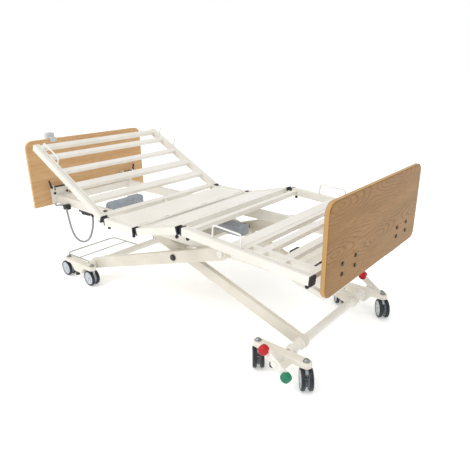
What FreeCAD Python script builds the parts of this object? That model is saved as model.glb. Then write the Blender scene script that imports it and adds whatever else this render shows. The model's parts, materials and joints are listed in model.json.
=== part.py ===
# Adjustable hospital bed: scissor lift on two castored bases, sectioned deck, two boards.
# Millimetres. Origin at the middle of the bed on the floor, +X to the foot end, +Z up,
# +Y to the left-hand side of a person lying on the bed.
import FreeCAD
import Part
import math
import os

from FreeCAD import Vector

# ---- driving dimensions -------------------------------------------------------------
foot_face_x = 1090.0          # outer face of the footboard; stations are measured from it
board_width = 900.0
board_thickness = 22.0
footboard_low = 466.0
footboard_high = 845.0
headboard_low = 425.0
headboard_high = 857.0
headboard_station = 2124.0    # inner face of the headboard

arm_angle = 17.6              # scissor arms against the floor, as drawn
arm_lower = 792.0             # floor axle to middle pivot
arm_upper = 347.0             # middle pivot to upper pin
arm_wall = 3.0
foot_axle_station = 203.0
axle_z = 110.0
axle_radius = 21.0
collar_radius = 27.0
outer_arm_y = (297.0, 325.0)   # inside the swing of the head casters
outer_arm_height = 68.0
inner_arm_y = (235.0, 263.0)
inner_arm_height = 60.0
pivot_radius = 12.0
roller_pin_radius = 8.0
lip_height = 22.0
running_gap = 0.05

yoke_y = 388.0
yoke_width = 50.0
yoke_top = 128.0
yoke_end_z = 104.0
yoke_web_z = 62.0
stem_spacing = 254.0
foot_yoke_station = 223.0
head_yoke_station = 1773.0
stem_radius = 8.0
stem_top = 123.5
wheel_radius = 50.0
wheel_width = 19.0
wheel_gap = 16.0
caster_trail = 14.0
caster_axle_radius = 5.0
foot_swing = 130.0            # how the casters stand at rest, degrees about Z
head_swing = 0.0

rail_y = (435.0, 473.0)
rail_z = (487.0, 525.0)
rail_middle_y = 454.0
rail_wall = 2.0
cap_length = 10.0
hinge_gap = 7.0               # hinge line to the first black cap on each side
top_hinge_z = 518.0
knee_flat_z = 494.0
backrest_station = 1343.0
backrest_length = 717.0
backrest_angle = 27.6
thigh_station = 1075.0
thigh_length = 333.0
thigh_angle = 13.9
calf_length = 700.0
knee_ratio = -1.28            # calf turn for each degree of thigh turn
ear_radius = 13.0
hinge_pin_radius = 5.0
outer_ear_y = (429.0, 435.5)
inner_ear_y = (423.0, 428.6)

frame_y = (267.0, 293.0)      # side rails run between the inner and the outer arms
frame_z = (430.0, 487.0)
frame_wall = 2.5
roller_radius = 18.0
board_plate_x = 6.0
latch_station = 2098.0
latch_z = 548.0

lift_lever = 90.0             # how far below its hinge line each drive lever is pulled
knee_lever = 70.0
backrest_lever = 106.0

cord_radius = 6.0
gland_station = 1565.0
gland_y = -390.0
handset_y = -262.0
handset_low = 752.0
handset_high = 892.0

origin = Vector(0, 0, 0)
axis_x = Vector(1, 0, 0)
axis_y = Vector(0, 1, 0)
axis_z = Vector(0, 0, 1)


# ---- worked out ---------------------------------------------------------------------
arm_rad = math.radians(arm_angle)
pivot_station = foot_axle_station + arm_lower * math.cos(arm_rad)
head_axle_station = foot_axle_station + 2 * arm_lower * math.cos(arm_rad)
pivot_z = axle_z + arm_lower * math.sin(arm_rad)
upper_pin_z = axle_z + (arm_lower + arm_upper) * math.sin(arm_rad)
foot_pin_station = pivot_station - arm_upper * math.cos(arm_rad)
head_pin_station = pivot_station + arm_upper * math.cos(arm_rad)
calf_turn = knee_ratio * thigh_angle


def at(station):
    """X of a station, a distance from the outer face of the footboard."""
    return foot_face_x - station


def box(near, far, y_low, y_high, z_low, z_high):
    """A block between two stations."""
    low = at(max(near, far))
    size = abs(far - near)
    return Part.makeBox(size, y_high - y_low, z_high - z_low, Vector(low, y_low, z_low))


def hollow(near, far, y_low, y_high, z_low, z_high, wall, along="x"):
    """A box section with open ends along one axis."""
    outer = box(near, far, y_low, y_high, z_low, z_high)
    low, high = min(near, far), max(near, far)
    if along == "x":
        inner = box(low - 1, high + 1, y_low + wall, y_high - wall, z_low + wall, z_high - wall)
    else:
        inner = box(low + wall, high - wall, y_low - 1, y_high + 1, z_low + wall, z_high - wall)
    return outer.cut(inner)


def rod(station, y_low, y_high, z, radius):
    """A round bar along Y."""
    return Part.makeCylinder(radius, y_high - y_low, Vector(at(station), y_low, z), axis_y)


def post(station, y, z_low, z_high, radius):
    """A round bar along Z."""
    return Part.makeCylinder(radius, z_high - z_low, Vector(at(station), y, z_low), axis_z)


def bolt_x(near, far, y, z, radius):
    """A round bar along X between two stations."""
    low = at(max(near, far))
    return Part.makeCylinder(radius, abs(far - near), Vector(low, y, z), axis_x)


def mirrored(shape):
    """The same shape on the other side of the bed."""
    return shape.mirror(origin, axis_y)


def pair(shape):
    return [shape, mirrored(shape)]


def fused(shapes):
    solid = shapes[0]
    if len(shapes) > 1:
        solid = solid.multiFuse(shapes[1:])
    return solid.removeSplitter()


def turned(shape, station, z, degrees, axis=axis_y):
    """A turned copy, about a line along Y (or another axis) through a station and height."""
    copy = shape.copy()
    copy.rotate(Vector(at(station), 0, z), axis, degrees)
    return copy


def edges_along(shape, axis, test):
    """Straight edges along one axis whose midpoint passes a test."""
    found = []
    for edge in shape.Edges:
        start, end = edge.Vertexes[0].Point, edge.Vertexes[-1].Point
        run = end.sub(start)
        if run.Length < 0.1 or edge.Curve.TypeId != "Part::GeomLine":
            continue
        if abs(run.dot(axis)) / run.Length > 0.999 and test(start.add(end).multiply(0.5)):
            found.append(edge)
    return found


def softened(shape, axis, radius, test=lambda point: True):
    """Rounds the edges along one axis."""
    edges = edges_along(shape, axis, test)
    return shape.makeFillet(radius, edges) if edges else shape


def pipe(points, radius, bends):
    """A round rod through points, with arcs of the given radii at the points between."""
    edges = []
    last = points[0]
    for index in range(1, len(points) - 1):
        before = points[index - 1].sub(points[index]).normalize()
        after = points[index + 1].sub(points[index]).normalize()
        half = before.getAngle(after) / 2
        bend = bends[index - 1]
        cut = bend / math.tan(half)
        start = points[index].add(Vector(before).multiply(cut))
        end = points[index].add(Vector(after).multiply(cut))
        middle_way = before.add(after).normalize()
        reach = bend / math.sin(half) - bend
        middle = points[index].add(middle_way.multiply(reach))
        edges.append(Part.LineSegment(last, start).toShape())
        edges.append(Part.Arc(start, middle, end).toShape())
        last = end
    edges.append(Part.LineSegment(last, points[-1]).toShape())
    path = Part.Wire(edges)
    first = points[1].sub(points[0]).normalize()
    section = Part.Wire(Part.makeCircle(radius, points[0], first))
    return path.makePipeShell([section], True, False)


def write(name, solids):
    """Saves one node; a node may hold several separate solids."""
    loose = []
    for shape in solids:
        loose.extend(shape.Solids)
    for solid in loose:
        if not solid.isValid() or solid.Volume <= 0:
            print("BAD SOLID in", name)
    Part.makeCompound(loose).exportStep("parts/" + name + ".step")
    volume = sum(solid.Volume for solid in loose)
    print("%-24s %2d solids %9.1f cm3" % (name, len(loose), volume / 1000))


# ---- bases and casters --------------------------------------------------------------
def yoke(station, bores):
    """Boat-shaped casting that carries two casters; its deep web is in the middle."""
    half = stem_spacing / 2
    end = half + yoke_width / 2
    side = [(-end, yoke_end_z), (-72, yoke_end_z), (-38, yoke_web_z), (38, yoke_web_z),
            (72, yoke_end_z), (end, yoke_end_z), (end, yoke_top), (-end, yoke_top)]
    y_low = yoke_y - yoke_width / 2
    points = [Vector(at(station) + x, y_low, z) for x, z in side]
    wire = Part.makePolygon(points + [points[0]])
    web = Part.Face(wire).extrude(Vector(0, yoke_width, 0))
    y_high = yoke_y + yoke_width / 2
    plan = box(station - half, station + half, y_low, y_high, yoke_web_z, yoke_top)
    for side_x in (-half, half):
        plan = plan.fuse(post(station + side_x, yoke_y, yoke_web_z, yoke_top, yoke_width / 2))
    body = web.common(plan.removeSplitter())
    rim = [edge for edge in body.Edges if abs(edge.CenterOfMass.z - yoke_top) < 0.01]
    body = body.makeFillet(6, rim)
    for side_x in (-half, half):
        stem = post(station + side_x, yoke_y, yoke_end_z - 1, stem_top + 0.5, stem_radius + running_gap)
        body = body.cut(stem)
    for bore in bores:
        body = body.cut(bore)
    return body


def crossbar(station):
    """Round axle tube between the yokes, with collars beside the arms."""
    reach = yoke_y - yoke_width / 2
    tube = rod(station, -reach, reach, axle_z, axle_radius)
    parts = [tube]
    for low, width in ((inner_arm_y[0] - 7, 6), (inner_arm_y[1] + 1, 15), (outer_arm_y[1] + 1, 16)):
        parts.extend(pair(rod(station, low, low + width, axle_z, collar_radius)))
    solid = fused(parts)
    return solid.cut(rod(station, -reach - 1, reach + 1, axle_z, axle_radius - 3))


def caster_fork(station, side, swing):
    """Hub body of a twin-wheel caster with its stem and axle, turned to its rest swing."""
    axle_x = -caster_trail
    half_gap = wheel_gap / 2 - 0.5
    neck_low = 2 * wheel_radius + 0.8
    stem = Part.makeCylinder(stem_radius, stem_top - neck_low, Vector(0, 0, neck_low), axis_z)
    neck = Part.makeCylinder(15, yoke_end_z - 1 - neck_low, Vector(0, 0, neck_low), axis_z)
    drum = Part.makeCylinder(34, 2 * half_gap, Vector(axle_x, -half_gap, wheel_radius), axis_y)
    web_height = neck_low - wheel_radius
    web = Part.makeBox(30, 2 * half_gap, web_height, Vector(axle_x - 8, -half_gap, wheel_radius))
    axle_half = wheel_gap / 2 + wheel_width
    axle_start = Vector(axle_x, -axle_half, wheel_radius)
    axle = Part.makeCylinder(caster_axle_radius, 2 * axle_half, axle_start, axis_y)
    solid = fused([stem, neck, drum, web, axle])
    solid.rotate(origin, axis_z, swing)
    solid.translate(Vector(at(station), side * yoke_y, 0))
    return solid


def caster_wheels(station, side, swing):
    """Two wheels on one axle: rounded tread, dished disc and a raised centre."""
    wheels = []
    bore = caster_axle_radius + running_gap
    tread = wheel_radius
    profile = [(bore, 0), (tread - 4, 0), (tread, 5), (tread, wheel_width - 5), (tread - 4, wheel_width),
               (tread - 10, wheel_width), (tread - 12, wheel_width - 3), (14, wheel_width - 3),
               (12, wheel_width), (bore, wheel_width)]
    for way in (-1, 1):
        points = [Vector(-caster_trail + r, way * (wheel_gap / 2 + w), wheel_radius) for r, w in profile]
        face = Part.Face(Part.makePolygon(points + [points[0]]))
        wheel = face.revolve(Vector(-caster_trail, 0, wheel_radius), axis_y, 360)
        wheel.rotate(origin, axis_z, swing)
        wheel.translate(Vector(at(station), side * yoke_y, 0))
        wheels.append(wheel)
    return wheels


def make_casters():
    for base, middle in (("foot", foot_yoke_station), ("head", head_yoke_station)):
        for side_name, side in (("right", -1), ("left", 1)):
            for order, offset in (("outer", -1), ("inner", 1)):
                way = offset if base == "foot" else -offset
                station = middle + way * stem_spacing / 2
                swing = foot_swing if base == "foot" else head_swing
                name = "_".join((base, side_name, order))
                write("caster_fork_" + name, [caster_fork(station, side, swing)])
                write("caster_wheels_" + name, caster_wheels(station, side, swing))


brake_foot_offset = 47.0       # from the yoke's middle towards the head
brake_foot_radius = 6.0


def brake_foot(station):
    """Plunger that presses a rubber foot on the floor, hanging from the yoke's web."""
    place = station + brake_foot_offset
    shaft = post(place, yoke_y, 40, 106, brake_foot_radius)
    cup = post(place, yoke_y, 22, 44, 13)
    rims = [edge for edge in cup.Edges if edge.Closed]
    return fused([shaft, cup.makeFillet(3, rims)])


def brake_bore(station):
    return post(station + brake_foot_offset, yoke_y, 30, 118, brake_foot_radius + running_gap)


def make_bases():
    shaft_hole = rod(foot_axle_station, 300, 460, axle_z, 8 + running_gap)
    foot_yoke = yoke(foot_yoke_station, [brake_bore(foot_yoke_station), shaft_hole])
    head_yoke = yoke(head_yoke_station, [brake_bore(head_yoke_station)])
    write("foot_crossbar", [crossbar(foot_axle_station)])
    write("foot_yokes", pair(foot_yoke))
    write("head_crossbar", [crossbar(head_axle_station)])
    write("head_yokes", pair(head_yoke))
    write("foot_brake_feet", pair(brake_foot(foot_yoke_station)))
    write("head_brake_feet", pair(brake_foot(head_yoke_station)))


rack_y = (-334.0, 50.0)       # the near wire passes outside the outer arm


def base_rack():
    """Wire rack on the head base: a U-shaped loop with one bar across it."""
    near, far = rack_y
    root = head_axle_station + 10
    end = 2022.0
    z = 104.0
    corners = [(root, near, z + 10), (end, near, z), (end, far, z), (root, far, z + 10)]
    points = [Vector(at(s), y, height) for s, y, height in corners]
    loop = pipe(points, 5, [38, 38])
    middle = at((root + end) / 2)
    bar = Part.makeCylinder(4, far - near, Vector(middle, near, z + 5), axis_y)
    tube = rod(head_axle_station, near - 10, far + 10, axle_z, axle_radius)
    collar = rod(head_axle_station, near - 10, near + 10, axle_z, collar_radius)
    return fused([loop, bar]).cut(tube).cut(collar)


# ---- brake --------------------------------------------------------------------------
pedal_y = (464.0, 472.0)
red_pad = (52.0, 51.0)        # towards the head and up from the shaft
green_pad = (-63.0, -34.0)


def pedal_end(offset):
    return foot_axle_station + offset[0], axle_z + offset[1]


def pedal():
    """Flat bar with round ends on the brake shaft, one end up and one down."""
    ends = [pedal_end(red_pad), pedal_end(green_pad)]
    rise = ends[0][1] - ends[1][1]
    run = ends[0][0] - ends[1][0]
    length = math.hypot(rise, run)
    slope = math.degrees(math.atan2(rise, run))
    bar = box(ends[1][0], ends[1][0] + length, pedal_y[0], pedal_y[1], ends[1][1] - 18, ends[1][1] + 18)
    bar = turned(bar, ends[1][0], ends[1][1], slope)
    rounds = [rod(station, pedal_y[0], pedal_y[1], z, 18) for station, z in ends]
    boss = rod(foot_axle_station, 440, 476, axle_z, 15)
    return fused([bar, boss] + rounds)


def pad(offset):
    """Rubber foot pad on a pedal's end."""
    station, z = pedal_end(offset)
    button = rod(station, 461, 493, z, 23)
    rims = [edge for edge in button.Edges if edge.Closed]
    return button.makeFillet(6, rims)


def make_brake():
    bars = pair(pedal())
    shaft = rod(foot_axle_station, -470, 470, axle_z, 8)
    pads = {"red": pad(red_pad), "green": pad(green_pad)}
    write("brake_linkage", [fused([shaft] + bars)])
    for colour, button in pads.items():
        write(colour + "_pedal_pads", pair(button.cut(pedal())))


# ---- scissor lift -------------------------------------------------------------------
def arm(y_range, height, bores):
    """A box-section arm along +X from the origin with round ends and drilled bosses."""
    length = arm_lower + arm_upper
    y_low, y_high = y_range
    half = height / 2
    width = y_high - y_low
    blank = Part.makeBox(length, width, height, Vector(0, y_low, -half))
    ends = [Part.makeCylinder(half, width, Vector(x, y_low, 0), axis_y) for x in (0, length)]
    shell = fused([blank] + ends)
    shell = softened(shell, axis_x, 5)
    corner = Vector(0, y_low + arm_wall, arm_wall - half)
    core = Part.makeBox(length, width - 2 * arm_wall, height - 2 * arm_wall, corner)
    shell = shell.cut(core)
    for x, radius in bores:
        boss = Part.makeCylinder(radius + 8, width, Vector(x, y_low, 0), axis_y)
        shell = shell.fuse(boss)
        shell = shell.cut(Part.makeCylinder(radius, width + 2, Vector(x, y_low - 1, 0), axis_y))
    return shell


def on_foot_axle(shape):
    """Moves an arm along +X to the foot axle, pointing to the head end and up."""
    copy = shape.copy()
    copy.rotate(origin, axis_z, 180)
    copy.rotate(origin, axis_y, arm_angle)
    copy.translate(Vector(at(foot_axle_station), 0, axle_z))
    return copy


def on_head_axle(shape):
    """Moves an arm along +X to the head axle, pointing to the foot end and up."""
    copy = shape.copy()
    copy.rotate(origin, axis_y, -arm_angle)
    copy.translate(Vector(at(head_axle_station), 0, axle_z))
    return copy


def cross_plate(start, end, half_width, thickness, lift, lip_half):
    """Folded plate between two arms, with a lip down along each end."""
    sheet = Part.makeBox(end - start, 2 * half_width, thickness, Vector(start, -half_width, lift))
    lips = []
    for x in (start, end - thickness):
        corner = Vector(x, -lip_half, lift - lip_height)
        lips.append(Part.makeBox(thickness, 2 * lip_half, lip_height, corner))
    return fused([sheet] + lips)


def make_scissor():
    length = arm_lower + arm_upper
    axle_bore = axle_radius + running_gap
    inner = arm(inner_arm_y, inner_arm_height, [(0, axle_bore), (arm_lower, pivot_radius + running_gap)])
    stub_length = frame_y[1] - 4 - inner_arm_y[0]
    stub = Part.makeCylinder(roller_pin_radius, stub_length, Vector(length, inner_arm_y[0], 0), axis_y)
    inner = inner.fuse(stub)
    inner = on_foot_axle(mirrored(inner))
    write("inner_arms", pair(inner))
    plate = cross_plate(arm_lower + 25, length - 60, inner_arm_y[0], 4, 6, inner_arm_y[0])
    write("inner_cross_plate", [on_foot_axle(plate)])
    wheel = rod(head_pin_station, frame_y[0] + 4.5, frame_y[1] - 5, upper_pin_z, roller_radius)
    wheel_bore = roller_pin_radius + running_gap
    wheel = wheel.cut(rod(head_pin_station, inner_arm_y[0], outer_arm_y[1], upper_pin_z, wheel_bore))
    write("track_rollers", pair(wheel))

    bores = [(0, axle_bore), (arm_lower, pivot_radius), (length, pivot_radius + running_gap)]
    outer = arm(outer_arm_y, outer_arm_height, bores)
    outer = on_head_axle(outer)
    write("outer_arms", pair(outer))
    plate = cross_plate(arm_lower + 262, length - 16, outer_arm_y[0], 4, -30, inner_arm_y[0] - 8)
    eye = Part.makeBox(40, 16, 20, Vector(length - 33, -8, -44))
    hang_low = upper_pin_z - lift_lever - 12
    hang = box(foot_pin_station - 7, foot_pin_station + 7, -8, 8, hang_low, upper_pin_z - 25)
    write("outer_cross_plate", [fused([on_head_axle(plate), on_head_axle(eye), hang])])
    pins = []
    shank = rod(pivot_station, inner_arm_y[0] - 10, outer_arm_y[1], pivot_z, pivot_radius)
    spacer = rod(pivot_station, inner_arm_y[1] + 0.4, outer_arm_y[0] - 0.1, pivot_z, 20)
    head = rod(pivot_station, outer_arm_y[1], outer_arm_y[1] + 11, pivot_z, 17)
    crown = [edge for edge in head.Edges if abs(edge.CenterOfMass.y - outer_arm_y[1] - 11) < 0.01]
    head = head.makeFillet(5, crown)
    nut = rod(pivot_station, inner_arm_y[0] - 12, inner_arm_y[0] - 0.4, pivot_z, 18)
    pins.extend(pair(fused([shank, spacer, head, nut])))
    write("scissor_pivot_bolts", pins)


# ---- main frame ---------------------------------------------------------------------
def cross_member(near, far, z_low, z_high, half_width):
    return hollow(near, far, -half_width, half_width, z_low, z_high, frame_wall, "y")


def lift_stud():
    """Pin for the outer arm's upper end, with a head outside the arm."""
    stud = rod(foot_pin_station, frame_y[1] - 1, outer_arm_y[1] + 7, upper_pin_z, pivot_radius)
    head = rod(foot_pin_station, outer_arm_y[1] + 0.6, outer_arm_y[1] + 7, upper_pin_z, pivot_radius + 6)
    return fused([stud, head])


def side_rail():
    """Long box rail; an arm's roller runs inside it, through a slot, under a wear strip."""
    head_end = headboard_station - board_plate_x
    beam = hollow(30, head_end, frame_y[0], frame_y[1], frame_z[0], frame_z[1], frame_wall)
    slot = box(1203, 1357, frame_y[0] - 1, frame_y[0] + 4, upper_pin_z - 9.5, upper_pin_z + 9.5)
    strip_low = upper_pin_z + roller_radius + 0.5
    strip = box(1195, 1395, frame_y[0] + 2, frame_y[1] - 2, strip_low, frame_z[1] - 2)
    return beam.cut(slot).fuse(strip)


def splayed_bracket():
    """Flat arm that spreads from a side rail out to the footboard's plate."""
    root = frame_y[1] - 2
    outline = [(345, root), (300, root), (28, 384), (28, 410)]
    points = [Vector(at(s), y, 446) for s, y in outline]
    return Part.Face(Part.makePolygon(points + [points[0]])).extrude(Vector(0, 0, 26))


def main_frame():
    """Welded frame: side rails, cross members, brackets, outriggers; the seat rails join it later."""
    outriggers = [box(s, s + 25, frame_y[1] - 4, rail_y[0] + 4, 484, 494) for s in (1105, 1288)]
    half = [side_rail(), lift_stud(), splayed_bracket()] + outriggers
    parts = []
    for shape in half:
        parts.extend(pair(shape))
    for near in (30, 230, 1440, headboard_station - 46):
        parts.append(cross_member(near, near + 40, 440, frame_z[1] - 2, frame_y[0] + 1))
    return fused(parts)


rail_profile = [(rail_y[0], rail_z[0]), (rail_y[1], rail_z[0]), (rail_y[1], rail_z[1]), (450, rail_z[1]),
                (450, rail_z[1] - 4), (447, rail_z[1] - 4), (447, rail_z[1]), (rail_y[0], rail_z[1])]


def rail(near, far):
    """Deck side rail with a groove along its top, hollow, open at both ends."""
    points = [Vector(at(far), y, z) for y, z in rail_profile]
    face = Part.Face(Part.makePolygon(points + [points[0]]))
    solid = face.extrude(Vector(far - near, 0, 0))
    solid = softened(solid, axis_x, 3, lambda p: p.y > rail_y[1] - 1)
    core_y = (rail_y[0] + rail_wall, rail_y[1] - rail_wall)
    core = box(near - 1, far + 1, core_y[0], core_y[1], rail_z[0] + rail_wall, rail_z[1] - 6)
    return solid.cut(core)


def rail_cap(station, way):
    """Black plug on a rail's end; way is +1 when the end faces the head."""
    end = station + way * cap_length
    block = box(station, end, rail_y[0] + 0.8, rail_y[1] + 1, rail_z[0] - 1, rail_z[1] + 1)
    return softened(block, axis_x, 3)


def rail_end(station):
    """Steel plate that closes a rail's end towards the head."""
    plate = box(station, station + 3, rail_y[0], rail_y[1], rail_z[0], rail_z[1])
    return softened(plate, axis_x, 3, lambda p: p.y > rail_y[1] - 1)


def cap_knob(station, z):
    """Small black clamp knob under a rail's end."""
    stem = post(station, rail_middle_y, z - 10, z, 4)
    ball = Part.makeSphere(9, Vector(at(station), rail_middle_y, z - 14))
    return fused([stem, ball])


def outer_ear(station, z, way, reach):
    """Hinge plate on a rail's inner face with its pin; way is the side its rail is on."""
    y_low, y_high = outer_ear_y
    strip = box(station, station + way * reach, y_low, y_high, z - 9, z + 6)
    disc = rod(station, y_low, y_high, z, ear_radius)
    disc = disc.common(box(station - 20, station + 20, y_low, y_high, rail_z[0] + 0.5, rail_z[1] - 0.5))
    pin = rod(station, inner_ear_y[0] - 3, y_low + 1, z, hinge_pin_radius)
    return fused([strip, disc, pin])


def inner_ear(station, z, way, reach):
    """Hinge plate inside the outer one, welded to the section's hinge bar."""
    y_low, y_high = inner_ear_y
    strip = box(station, station + way * reach, y_low, y_high, z - 9, z + 6)
    disc = rod(station, y_low, y_high, z, ear_radius)
    disc = disc.common(box(station - 20, station + 20, y_low, y_high, rail_z[0] + 0.5, rail_z[1] - 0.5))
    plate = strip.fuse(disc)
    return plate.cut(rod(station, y_low - 1, y_high + 1, z, hinge_pin_radius + running_gap))


def hinge_bar(station, way):
    """Box bar between the side rails next to a hinge line."""
    near = station + way * 24
    return hollow(near, near + way * 26, -rail_y[0] - 1, rail_y[0] + 1, 491, 515, 2, "y")


def notched(tray, near, far):
    """Leaves room in a pan's side flanges for the hinge ears between two stations."""
    notch = box(near, far, 421, 437, 500, 526)
    return tray.cut(notch).cut(mirrored(notch))


def pan(near, far, slot_rows):
    """Folded steel pan between the side rails with rows of slots and round holes."""
    half = rail_y[0]
    tray = box(near, far, -half, half, 503, 521)
    inner = box(near + 2.5, far - 2.5, -half + 2.5, half - 2.5, 500, 518.5)
    tray = tray.cut(inner)
    cuts = []
    for station in slot_rows:
        for step in range(-5, 6):
            y = step * 76.0
            if step % 2:
                cuts.append(box(station - 4, station + 4, y - 32, y + 32, 515, 525))
            else:
                cuts.append(post(station, y - 14, 515, 525, 5))
                cuts.append(post(station, y + 14, 515, 525, 5))
    return tray.cut(Part.makeCompound(cuts)) if cuts else tray


def seat_end(station, way):
    """Where a seat rail's metal stops beside a hinge line."""
    return station + way * (hinge_gap + cap_length)


def make_seat():
    head_end = seat_end(backrest_station, -1)
    foot_end = seat_end(thigh_station, 1)
    ears = pair(outer_ear(backrest_station, top_hinge_z, -1, 45))
    ears = ears + pair(outer_ear(thigh_station, top_hinge_z, 1, 45))
    rails = pair(rail(foot_end, head_end))
    frame = fused([main_frame()] + rails + ears)
    write("main_frame", [frame])
    caps = pair(rail_cap(head_end, 1)) + pair(rail_cap(foot_end, -1))
    caps = caps + pair(cap_knob(backrest_station - 30, rail_z[0]))
    caps = caps + pair(cap_knob(thigh_station + 30, rail_z[0]))
    write("seat_end_caps", caps)
    tray = pan(thigh_station + 20, backrest_station - 20, [thigh_station + 36])
    tray = notched(tray, thigh_station, thigh_station + 46)
    tray = notched(tray, backrest_station - 46, backrest_station)
    write("seat_pan", [tray])


# ---- backrest, thigh and calf sections ------------------------------------------------
def raise_backrest(shape):
    return turned(shape, backrest_station, top_hinge_z, backrest_angle)


def raise_thigh(shape):
    return turned(shape, thigh_station, top_hinge_z, -thigh_angle)


def knee_place():
    """Station and height of the knee hinge with the thigh section raised."""
    turn = math.radians(thigh_angle)
    drop = knee_flat_z - top_hinge_z
    along = thigh_length * math.cos(turn) - drop * math.sin(turn)
    height = top_hinge_z + thigh_length * math.sin(turn) + drop * math.cos(turn)
    return thigh_station - along, height


def raise_calf(shape):
    station, height = knee_place()
    return turned(raise_thigh(shape), station, height, -calf_turn)


def slat(near, far, z_low=503.0, z_high=525.0):
    return hollow(near, far, -rail_y[0], rail_y[0], z_low, z_high, 2, "y")


def retainer(near, far, rise):
    """Bent wire loop that keeps the mattress from sliding sideways."""
    top = rail_z[1] + rise
    corners = [(near, rail_z[1]), (near, top), (far, top), (far, rail_z[1])]
    points = [Vector(at(s), rail_middle_y, z) for s, z in corners]
    return pipe(points, 4, [14, 14])


def make_backrest():
    start = backrest_station
    near = start + hinge_gap + cap_length
    far = start + backrest_length - 3
    end_bar = hollow(far - 35, far - 2, -rail_y[0] - 1, rail_y[0] + 1, 497, 521, 2, "y")
    lever = box(start - 6, start + 6, -8, 8, top_hinge_z - 148, top_hinge_z - 14)
    parts = pair(rail(near, far)) + pair(inner_ear(start, top_hinge_z, 1, 40))
    parts = parts + [hinge_bar(start, 1), end_bar] + pair(rail_end(far))
    frame = raise_backrest(fused(parts))
    arm_up = raise_backrest(box(start - 8, start + 50, -8, 8, 490, 510))
    write("backrest_frame", [fused([frame, lever, arm_up])])
    slats = [slat(start + middle - width / 2, start + middle + width / 2)
             for middle, width in ((165, 45), (300, 45), (445, 31), (590, 31))]
    write("backrest_slats", [raise_backrest(s) for s in slats])
    caps = pair(rail_cap(near, -1)) + pair(cap_knob(start + 44, rail_z[0]))
    write("backrest_end_caps", [raise_backrest(c) for c in caps])
    loops = pair(retainer(start + 484, start + 643, 60))
    write("backrest_retainers", [raise_backrest(s) for s in loops])


def make_thigh():
    start = thigh_station
    near = start - hinge_gap - cap_length
    far = start - thigh_length + hinge_gap + cap_length
    knee = start - thigh_length
    ears = pair(inner_ear(start, top_hinge_z, -1, 40)) + pair(outer_ear(knee, knee_flat_z, 1, 45))
    knee_bar = hollow(knee + 24, knee + 50, -rail_y[0] - 1, rail_y[0] + 1, 491, 515, 2, "y")
    parts = pair(rail(far, near)) + ears + [hinge_bar(start, -1), knee_bar]
    frame = raise_thigh(fused(parts))
    lever = box(start - 5, start + 5, -8, 8, top_hinge_z - 84, top_hinge_z - 14)
    arm_up = raise_thigh(box(start - 50, start + 6, -8, 8, 493, 505))
    write("thigh_frame", [fused([frame, lever, arm_up])])
    tray = pan(knee + 21, start - 21, [start - 38, knee + 70])
    tray = notched(tray, start - 42, start)
    tray = tray.cut(box(start - 52, start + 8, -9, 9, 492, 506))
    for bar_start in (start - 50, knee + 24):
        tray = tray.cut(box(bar_start, bar_start + 26, -437, 437, 500, 515))
    write("thigh_pan", [raise_thigh(tray)])
    caps = pair(rail_cap(near, 1)) + pair(rail_cap(far, -1)) + pair(cap_knob(knee + 40, rail_z[0]))
    write("thigh_end_caps", [raise_thigh(c) for c in caps])


def make_calf():
    start = thigh_station - thigh_length
    near = start - hinge_gap - cap_length
    far = start - calf_length + cap_length
    end_bar = hollow(far + 2, far + 32, -rail_y[0] - 1, rail_y[0] + 1, 497, 521, 2, "y")
    inner_block = box(far + 30, start - 355, 368, 394, 497, 521)
    inner_rail = hollow(far + 30, start - 355, 368, 394, 497, 521, 2)
    cross = hollow(start - 365, start - 340, -rail_y[0] - 1, rail_y[0] + 1, 499, 521, 2, "y")
    parts = pair(rail(far, near)) + pair(inner_ear(start, knee_flat_z, -1, 40)) + pair(inner_rail)
    parts = parts + [hinge_bar(start, -1), end_bar, cross]
    write("calf_frame", [raise_calf(fused(parts))])
    slats = []
    for along, width in ((306, 62), (422, 40), (532, 40)):
        blank = slat(start - along - width / 2, start - along + width / 2, 499.0, 520.5)
        if along > 350:
            for piece in pair(inner_block):
                blank = blank.cut(piece)
        slats.append(raise_calf(blank))
    write("calf_slats", slats)
    caps = pair(rail_cap(near, 1)) + pair(rail_cap(far, -1)) + pair(cap_knob(start - 40, rail_z[0]))
    caps = caps + pair(cap_knob(far + 14, rail_z[0]))
    write("calf_end_caps", [raise_calf(c) for c in caps])
    loops = pair(retainer(start - 350, start - 191, 60))
    write("calf_retainers", [raise_calf(s) for s in loops])


# ---- boards ---------------------------------------------------------------------------
def board(near, low, high, top_radius, low_radius):
    """Wooden end board with rounded corners and softened edges."""
    half = board_width / 2
    slab = box(near, near + board_thickness, -half, half, low, high)
    slab = softened(slab, axis_x, top_radius, lambda p: p.z > high - 1)
    if low_radius:
        slab = softened(slab, axis_x, low_radius, lambda p: p.z < low + 1)
    rim = []
    for edge in slab.Edges:
        x = edge.CenterOfMass.x
        if abs(x - at(near)) < 0.01 or abs(x - at(near + board_thickness)) < 0.01:
            rim.append(edge)
    return slab.makeFillet(5, rim)


def bolt_places(across, heights):
    return [(side * y, z) for side in (-1, 1) for y in across for z in heights]


foot_bolt_places = bolt_places((212.0, 322.0), (534.0, 577.0))
head_bolt_places = bolt_places((216.0, 306.0), (501.0, 528.0))


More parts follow.
